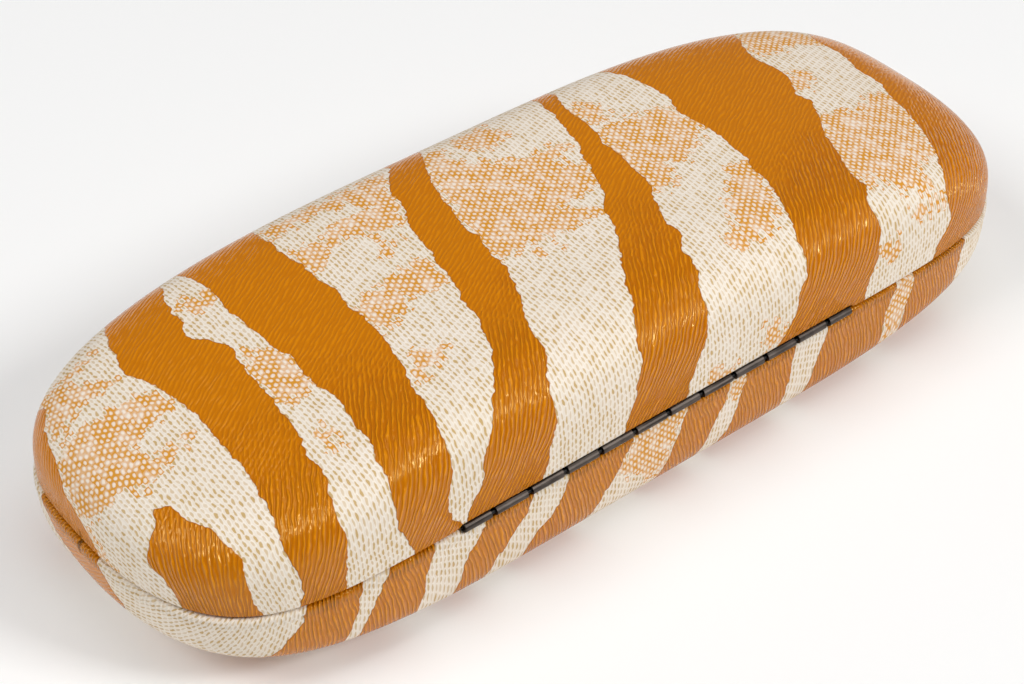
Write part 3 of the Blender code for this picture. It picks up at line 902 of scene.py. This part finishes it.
@dataclass(frozen=True)
class HalfForm:
    """One half's outer form, the same dome as the frame's."""

    half: Half
    half_length: float
    height: float
    length_power: float
    width_power: float
    softening: float
    crown_degrees: float
    half_width: float = 0.0302
    outline_y: float = -0.00025
    seam_z: float = 0.0162

    @property
    def rise_power(self) -> float:
        """Power of the profile's height term."""
        return (self.length_power + self.width_power) / 2

    def peak(self, inset: np.ndarray | float) -> np.ndarray | float:
        """Height that the dome tends to."""
        return (self.height - inset) / math.sin(math.radians(self.crown_degrees)) ** (2 / self.rise_power)

    def angle_at(self, inset: np.ndarray | float, rise: np.ndarray | float) -> np.ndarray:
        """Profile angle where the surface stands `rise` from the seam."""
        share = np.clip(np.asarray(rise) / self.peak(inset), 0, 1)
        return np.arcsin(share ** (self.rise_power / 2))

    def surface(self, columns: np.ndarray, inset: np.ndarray | float, angle: np.ndarray) -> np.ndarray:
        """Points of the dome, `inset` inside the outer face.

        Args:
            columns: unit outline places, one for each column.
            inset: depth below the outer face, for each row and column or for all.
            angle: profile angle, for each row and column.

        Returns:
            Points as rows by columns by 3.
        """
        length_power = self.length_power + self.softening * (2 * angle / math.pi) ** 2
        along = np.cos(angle) ** (2 / length_power)
        across = np.cos(angle) ** (2 / self.width_power)
        rise = np.minimum(self.peak(inset) * np.sin(angle) ** (2 / self.rise_power), self.height - inset)
        x = (self.half_length - inset) * columns[None, :, 0] * along
        y = (self.half_width - inset) * columns[None, :, 1] * across
        return np.stack([x, self.outline_y + y, self.seam_z + self.half.value * rise], axis=-1)

    def even_angles(self, start_rise: float, spacing: float) -> np.ndarray:
        """Profile angles from a low rise to the crown, evenly spaced over the dome.

        Args:
            start_rise: height of the first row above the seam.
            spacing: distance between rows in metres.

        Returns:
            Rising angles.
        """
        dense = np.linspace(float(self.angle_at(0.0, start_rise)), math.pi / 2 - 0.0006, 4000)
        middle = np.array([[0.25, 1.0]])
        points = self.surface(middle, 0.0, dense[:, None])[:, 0]
        run = np.concatenate([[0.0], np.cumsum(np.linalg.norm(np.diff(points, axis=0), axis=1))])
        count = int(run[-1] / spacing)
        return np.interp(np.linspace(0, run[-1], count), run, dense)


OUTLINE = Outline(
    front_power=3.775, rear_end_power=9.4, rear_side_power=2.125, half_length=0.080, half_width=0.0302
)
LID_FORM = HalfForm(
    Half.LID, half_length=0.0796, height=0.0174, length_power=2.255, width_power=5.278, softening=0.0,
    crown_degrees=81.0,
)
BASE_FORM = HalfForm(
    Half.BASE, half_length=0.0800, height=0.0162, length_power=1.10, width_power=9.60, softening=0.90,
    crown_degrees=72.0,
)


class Grid:
    """Rows and columns of points that close round into one skin."""

    def __init__(self, name: str, points: np.ndarray) -> None:
        """Take the points.

        Args:
            name: the piece's name.
            points: rows by columns by 3.
        """
        self.name = name
        self.points = points
        self.fields: dict[str, np.ndarray] = {}

    def store(self, name: str, values: np.ndarray) -> None:
        """Keep a number or a vector for each point."""
        self.fields[name] = values

    def build(self, material: bpy.types.Material, close_last: bool = True) -> bpy.types.Object:
        """Make the mesh object.

        Args:
            material: its finish.
            close_last: whether the last row is filled with one face.

        Returns:
            The object.
        """
        rows, columns = self.points.shape[:2]
        index = np.arange(rows * columns).reshape(rows, columns)
        ahead = np.roll(index, -1, axis=1)
        quads = np.stack([index[:-1], ahead[:-1], ahead[1:], index[1:]], axis=-1).reshape(-1, 4)
        faces = quads.tolist()
        if close_last:
            faces.append(index[-1].tolist())
        mesh = bpy.data.meshes.new(self.name)
        mesh.from_pydata(self.points.reshape(-1, 3).tolist(), [], faces)
        for name, values in self.fields.items():
            if values.ndim == 3:
                layer = mesh.attributes.new(name, "FLOAT_VECTOR", "POINT")
                layer.data.foreach_set("vector", values.reshape(-1).astype(np.float32))
            else:
                layer = mesh.attributes.new(name, "FLOAT", "POINT")
                layer.data.foreach_set("value", values.reshape(-1).astype(np.float32))
        mesh.materials.append(material)
        mesh.shade_smooth()
        obj = bpy.data.objects.new(self.name, mesh)
        bpy.context.scene.collection.objects.link(obj)
        return obj


def outward(obj: bpy.types.Object) -> bpy.types.Object:
    """Turn a skin's faces so that the crown looks away from the inside.

    Args:
        obj: a mesh object whose last face is the crown.

    Returns:
        The same object.
    """
    mesh = obj.data
    crown = mesh.polygons[-1]
    middle = sum((v.co.z for v in mesh.vertices), 0.0) / len(mesh.vertices)
    if (crown.center.z - middle) * crown.normal.z < 0:
        mesh.flip_normals()
    return obj


@dataclass
class CoverSkin:
    """The printed cover of one half: its outer face, the fold over the rim and the turned-in hem."""

    name: str
    body: str
    node: str
    form: HalfForm
    layout: PrintLayout
    finish: PrintedCover
    roll: float
    pleats: float
    bulge: float
    seam_half: float = 0.00015
    hem_inner: float = 0.0028
    bare_inner: float = 0.0008
    hem_depth: float = 0.0060
    hem_round: float = 0.00035
    notch_depth: float = 0.0006
    hinge_x: float = 0.0015
    notch_inner: float = 0.0369
    notch_taper: float = 0.0009
    spacing: float = 0.00062
    row_spacing: float = 0.00058

    def build(self) -> bpy.types.Object:
        """Make the cover.

        Returns:
            The object, riding on its body.
        """
        places = (self.notch_inner, self.notch_inner + self.notch_taper)
        stations = tuple(self.hinge_x + side * place for side in (-1, 1) for place in places)
        columns = OUTLINE.columns(self.spacing, stations)
        notch = self._notch(columns)
        outer_points, rises = self._outer_face(columns, notch)
        rim_points = self._rim(columns, notch)
        grid = Grid(self.name, np.concatenate([rim_points, outer_points]))
        self._store(grid, columns, len(rim_points), outer_points, rises)
        cover = outward(grid.build(self.finish.material()))
        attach(cover, self.body)
        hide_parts(self.node)
        return cover

    def _notch(self, columns: np.ndarray) -> np.ndarray:
        """How far the rim stands back from the seam at each column, for the barrel."""
        x = np.abs(columns[:, 0] * self.form.half_length - self.hinge_x)
        share = np.clip((self.notch_inner + self.notch_taper - x) / self.notch_taper, 0, 1)
        return np.where(columns[:, 1] > 0.3, share * self.notch_depth, 0.0)

    def _outer_face(self, columns: np.ndarray, notch: np.ndarray) -> tuple[np.ndarray, np.ndarray]:
        """Outer face from the fold to the crown.

        Args:
            columns: unit outline places.
            notch: rim setback of each column.

        Returns:
            Points, and the rise of each row above the rim.
        """
        start = self.seam_half + self.roll
        angles = self.form.even_angles(start, self.row_spacing)
        fine = self.form.angle_at(0.0, start + np.arange(0, 0.0024, 0.0003))
        angles = np.concatenate([fine, angles[angles > fine[-1] + 1e-4]])
        peak = self.form.peak(0.0)
        rises = peak * np.sin(angles) ** (2 / self.form.rise_power)
        fade = np.clip(1 - (rises - start) / 0.005, 0, 1)
        moved = rises[:, None] + fade[:, None] * notch[None, :]
        low = (rises < 0.0055)[:, None]
        angle = np.where(low, self.form.angle_at(0.0, np.minimum(moved, peak)), angles[:, None])
        points = self.form.surface(columns, 0.0, angle)
        push = self.bulge * np.exp(-(((rises - start - 0.0003) / 0.0009) ** 2))
        points += self._sideways(columns)[None] * push[:, None, None]
        return points, rises - start

    def _sideways(self, columns: np.ndarray) -> np.ndarray:
        """Level outward direction of each column."""
        scale = np.array((self.form.half_length, self.form.half_width))
        tangent = (np.roll(columns, -1, axis=0) - np.roll(columns, 1, axis=0)) * scale
        normal = np.stack([tangent[:, 1], -tangent[:, 0]], axis=1)
        normal /= np.linalg.norm(normal, axis=1, keepdims=True)
        return np.concatenate([normal, np.zeros((len(columns), 1))], axis=1)

    def _rim(self, columns: np.ndarray, notch: np.ndarray) -> np.ndarray:
        """The fold over the rim and the hem, from the hem's end to the outer face."""
        inner = np.where(notch > 1e-6, self.bare_inner, self.hem_inner)
        kernel = np.ones(3) / 3
        inner = np.convolve(np.concatenate([inner[-1:], inner, inner[:1]]), kernel, "valid")
        top = self.seam_half + notch
        turns = np.linspace(0, math.pi / 2, 5)[:-1]
        stations = [(inner, top * 0 + self.hem_depth)]
        stations += [(inner, top + depth) for depth in (0.0044, 0.0028, 0.0014)]
        for turn in turns:
            inset = inner - self.hem_round * (1 - math.cos(turn))
            stations.append((inset, top + self.hem_round * (1 - math.sin(turn))))
        stations.append((inner - self.hem_round, top))
        reach = np.minimum(self.roll, (inner - self.hem_round) * 0.95)
        for turn in np.linspace(math.pi / 2, 0, 7)[:-1]:
            inset = reach * (1 - math.cos(turn))
            stations.append((inset, top + self.roll * (1 - math.sin(turn))))
        rows = []
        push = self.bulge * math.exp(-((0.0003 / 0.0009) ** 2))
        for inset, rise in stations:
            angle = self.form.angle_at(inset, rise)
            row = self.form.surface(columns, inset[None], angle[None])[0]
            share = np.clip(1 - inset / max(self.roll, 1e-6), 0, 1)
            rows.append(row + self._sideways(columns) * (push * share)[:, None])
        return np.array(rows)

    def _store(
        self, grid: Grid, columns: np.ndarray, rim_rows: int, outer: np.ndarray, rises: np.ndarray
    ) -> None:
        """Store the cloth place, print distances and rim places of each point.

        Args:
            grid: the whole skin.
            columns: unit outline places.
            rim_rows: rows before the outer face.
            outer: points of the outer face.
            rises: rise of each outer row above the fold.
        """
        plan = outer[..., :2] - np.array((0.0, self.form.outline_y))
        level = np.linalg.norm(np.diff(plan, axis=0), axis=-1)
        true = np.linalg.norm(np.diff(outer, axis=0), axis=-1)
        spare = np.zeros(outer.shape[:2])
        spare[:-1] = np.cumsum((true - level)[::-1], axis=0)[::-1]
        outward_xy = self._sideways(columns)[None, :, :2]
        cloth = (plan + outward_xy * spare[..., None]) / MM
        fold = np.linalg.norm(np.diff(grid.points[: rim_rows + 1], axis=0), axis=-1)
        beyond = np.cumsum(fold[::-1], axis=0)[::-1] / MM
        rim_cloth = cloth[0][None] + outward_xy * beyond[..., None]
        cloth = np.concatenate([rim_cloth, cloth])
        u, v = cloth[..., 0], cloth[..., 1]
        grid.store("cloth", np.concatenate([cloth, np.zeros((*u.shape, 1))], axis=-1))
        grid.store("stripe", self.layout.stripe_field(u, v))
        grid.store("net", self.layout.patch_field(u, v))
        run = np.linalg.norm(np.diff(outer[0], axis=0, append=outer[0][:1]), axis=-1)
        around = np.concatenate([[0.0], np.cumsum(run)[:-1]]) / MM
        grid.store("rim_length", np.broadcast_to(around, u.shape).copy())
        away = np.concatenate([np.zeros(rim_rows), rises / MM])
        grid.store("rim_distance", np.broadcast_to(away[:, None], u.shape).copy())
        grid.store("pleated", np.full(u.shape, self.pleats))


@dataclass
class LiningTray:
    """Flocked tray with a rounded lip and two open slots for the snap springs."""

    name: str
    body: str
    node: str
    form: HalfForm
    finish: Flock
    outer_inset: float = 0.0035
    thickness: float = 0.0008
    drop: float = 0.0006
    slot_places: tuple[float, float] = (-0.01785, 0.02085)
    slot_reach: float = 0.0033
    slot_depth: float = 0.0065
    spacing: float = 0.0011
    row_spacing: float = 0.0011
    edge_half: float = 0.00003

    def build(self) -> bpy.types.Object:
        """Make the tray.

        Returns:
            The object, riding on its body.
        """
        edges = []
        stretch = OUTLINE.half_length / (self.form.half_length - self.outer_inset)
        for place in self.slot_places:
            for side in (-1, 1):
                for reach in (self.slot_reach - self.edge_half, self.slot_reach + self.edge_half):
                    edges.append((place + side * reach) * stretch)
        columns = OUTLINE.columns(self.spacing, tuple(edges))
        lip = self._lip(columns)
        points = np.concatenate([self._lip_rows(columns, lip), self._inner_face(columns, lip)])
        tray = Grid(self.name, points).build(self.finish.material())
        outward(tray).data.flip_normals()
        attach(tray, self.body)
        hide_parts(self.node)
        return tray

    def _lip(self, columns: np.ndarray) -> np.ndarray:
        """How far the lip stands from the seam at each column."""
        x = columns[:, 0] * (self.form.half_length - self.outer_inset)
        lip = np.full(len(columns), self.drop)
        for place in self.slot_places:
            in_slot = (columns[:, 1] > 0.3) & (np.abs(x - place) < self.slot_reach)
            lip = np.where(in_slot, self.slot_depth, lip)
        return lip

    def _lip_rows(self, columns: np.ndarray, lip: np.ndarray) -> np.ndarray:
        """Outer wall and rounded lip."""
        radius = self.thickness / 2
        rows = []
        share = np.where(lip > self.drop, 0.2, 1.0)
        for depth in (0.0060, 0.0030, 0.0012):
            rows.append((self.outer_inset + 0 * lip, lip + radius + depth * share))
        for turn in np.linspace(0, math.pi, 9):
            inset = self.outer_inset + radius * (1 - math.cos(turn))
            rows.append((inset + 0 * lip, lip + radius * (1 - math.sin(turn))))
        made = []
        for inset, rise in rows:
            angle = self.form.angle_at(inset, rise)
            made.append(self.form.surface(columns, inset[None], angle[None])[0])
        return np.array(made)

    def _inner_face(self, columns: np.ndarray, lip: np.ndarray) -> np.ndarray:
        """Inner face from the lip to the floor."""
        inset = self.outer_inset + self.thickness
        start = self.drop + self.thickness
        angles = self.form.even_angles(start, self.row_spacing)
        peak = self.form.peak(inset)
        rises = peak * np.sin(angles) ** (2 / self.form.rise_power)
        first = (lip + self.thickness)[None, :]
        last = first + 0.0004
        squeezed = first + (rises[:, None] - start) * (last - first) / (last - start)
        moved = np.where(rises[:, None] < last, squeezed, rises[:, None])
        low = (rises < 0.0085)[:, None]
        angle = np.where(low, self.form.angle_at(inset, np.minimum(moved, peak)), angles[:, None])
        return self.form.surface(columns, inset, angle)


@dataclass
class CarriedParts:
    """Frame parts whose own shape shows, and the finish that each takes."""

    finishes: dict[str, bpy.types.Material] = field(default_factory=dict)

    def dress(self) -> None:
        """Give every listed node its finish."""
        for name, material in self.finishes.items():
            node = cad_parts[name]
            node.data.materials.clear()
            node.data.materials.append(material)
            LOG.info("dressed %s with %s", name, material.name)


@dataclass(frozen=True)
class Softbox:
    """A square area light: where it hangs, its side in metres and its output in watts."""

    name: str
    place: tuple[float, float, float]
    side: float
    power: float

    def build(self, target: tuple[float, float, float]) -> None:
        """Hang the light.

        Args:
            target: what it is aimed at.
        """
        data = bpy.data.lights.new(self.name, "AREA")
        data.shape = "RECTANGLE"
        data.size = data.size_y = self.side
        data.energy = self.power
        light = bpy.data.objects.new(self.name, data)
        light.location = self.place
        light.rotation_mode = "QUATERNION"
        aim = Vector(target) - Vector(self.place)
        light.rotation_quaternion = aim.to_track_quat("-Z", "Y")
        bpy.context.scene.collection.objects.link(light)


@dataclass
class Studio:
    """Pale floor, soft lights and the camera."""

    azimuth: float = 141.323
    elevation: float = 40.855
    distance: float = 0.3291
    target: tuple[float, float, float] = (0.00912, 0.00391, 0.01628)
    lens: float = 78.18
    lights: tuple[Softbox, ...] = (
        Softbox("key_softbox", (-0.55, 0.92, 0.84), 0.36, 9.6),
        Softbox("top_softbox", (-0.10, 0.12, 1.25), 1.0, 4.6),
        Softbox("fill_softbox", (0.85, -0.20, 1.00), 0.6, 7.2),
    )

    def build(self) -> None:
        """Make the stage."""
        self._view_settings()
        self._floor()
        self._camera()
        self._world()
        for light in self.lights:
            light.build(self.target)

    def _view_settings(self) -> None:
        """Plain colour view, so that finishes keep their own colours."""
        view = bpy.context.scene.view_settings
        view.view_transform = "Standard"
        view.look = "None"

    def _floor(self) -> None:
        """A wide pale floor under the case."""
        half = 2.5
        mesh = bpy.data.meshes.new("floor")
        corners = [(-half, -half, 0.0), (half, -half, 0.0), (half, half, 0.0), (-half, half, 0.0)]
        mesh.from_pydata(corners, [], [(0, 1, 2, 3)])
        white = (1.0, 1.0, 1.0)
        d = Dressing(
            "pale_floor", Roughness=0.9, Specular_IOR_Level=0.1, Emission_Strength=0.08, Emission_Color=white
        )
        place = d.node("TexCoord", output="Object")
        tone = d.noise(place, 3.0, 2.0)
        colour = d.blend(tone, (0.87, 0.865, 0.855), (0.89, 0.885, 0.875))
        mesh.materials.append(d.dress(Base_Color=colour))
        floor = bpy.data.objects.new("floor", mesh)
        bpy.context.scene.collection.objects.link(floor)

    def _camera(self) -> None:
        """The camera, from the hinge side and above."""
        turn, tilt = math.radians(self.azimuth), math.radians(self.elevation)
        back = Vector((math.sin(turn) * math.cos(tilt), -math.cos(turn) * math.cos(tilt), math.sin(tilt)))
        data = bpy.data.cameras.new("camera")
        data.lens = self.lens
        data.sensor_width = 36.0
        data.clip_start = 0.01
        data.clip_end = 20.0
        camera = bpy.data.objects.new("camera", data)
        camera.location = Vector(self.target) + back * self.distance
        camera.rotation_mode = "QUATERNION"
        camera.rotation_quaternion = (-back).to_track_quat("-Z", "Y")
        bpy.context.scene.collection.objects.link(camera)
        bpy.context.scene.camera = camera

    def _world(self) -> None:
        """Faint even light from all round."""
        world = bpy.data.worlds.new("studio")
        world.use_nodes = True
        background = world.node_tree.nodes["Background"]
        background.inputs["Color"].default_value = (0.93, 0.96, 1.0, 1.0)
        background.inputs["Strength"].default_value = 0.15
        bpy.context.scene.world = world


def main() -> None:
    """Build every piece in order and report it."""
    logging.basicConfig(level=logging.INFO, format="%(message)s")
    lid_cover = PrintedCover("lid_printed_cover", grain_low=32.0, grain_high=57.0)
    base_cover = PrintedCover("base_printed_cover", grain_low=60.0, grain_high=74.0)
    flock = Flock("dark_flock", (0.020, 0.016, 0.013), (0.075, 0.062, 0.052))
    pieces = (
        CoverSkin(
            "lid_cover_skin", "lid", "lid_cover", LID_FORM, LID_PRINT, lid_cover,
            roll=0.00045, pleats=0.35, bulge=0.0,
        ),
        CoverSkin(
            "base_cover_skin", "base", "base_cover", BASE_FORM, BASE_PRINT, base_cover,
            roll=0.0006, pleats=1.0, bulge=0.00012, notch_depth=0.00075,
        ),
        LiningTray("lid_lining", "lid", "lid_liner", LID_FORM, flock),
        LiningTray("base_lining", "base", "base_liner", BASE_FORM, flock),
    )
    for piece in pieces:
        made = piece.build()
        LOG.info("%s: %d faces", made.name, len(made.data.polygons))
    gunmetal = Metal("gunmetal", (0.038, 0.031, 0.027), (0.140, 0.117, 0.102), 0.44).material()
    black_steel = Metal("black_steel", (0.010, 0.010, 0.010), (0.030, 0.028, 0.027), 0.45).material()
    shell_steel = Metal("shell_steel", (0.30, 0.30, 0.31), (0.52, 0.52, 0.53), 0.38).material()
    spring_steel = Metal("spring_steel", (0.25, 0.25, 0.26), (0.50, 0.50, 0.51), 0.28).material()
    foam = Foam("grey_foam", (0.42, 0.42, 0.43)).material()
    carried = CarriedParts()
    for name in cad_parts:
        if name.endswith("_hinge_leaf"):
            carried.finishes[name] = gunmetal
        elif name == "hinge_pin":
            carried.finishes[name] = black_steel
        elif "rivet" in name or name.endswith("_shell"):
            carried.finishes[name] = shell_steel
        elif "spring" in name:
            carried.finishes[name] = spring_steel
        elif name.endswith("_pad"):
            carried.finishes[name] = foam
    carried.dress()
    Studio().build()


if __name__ == "__main__":
    main()
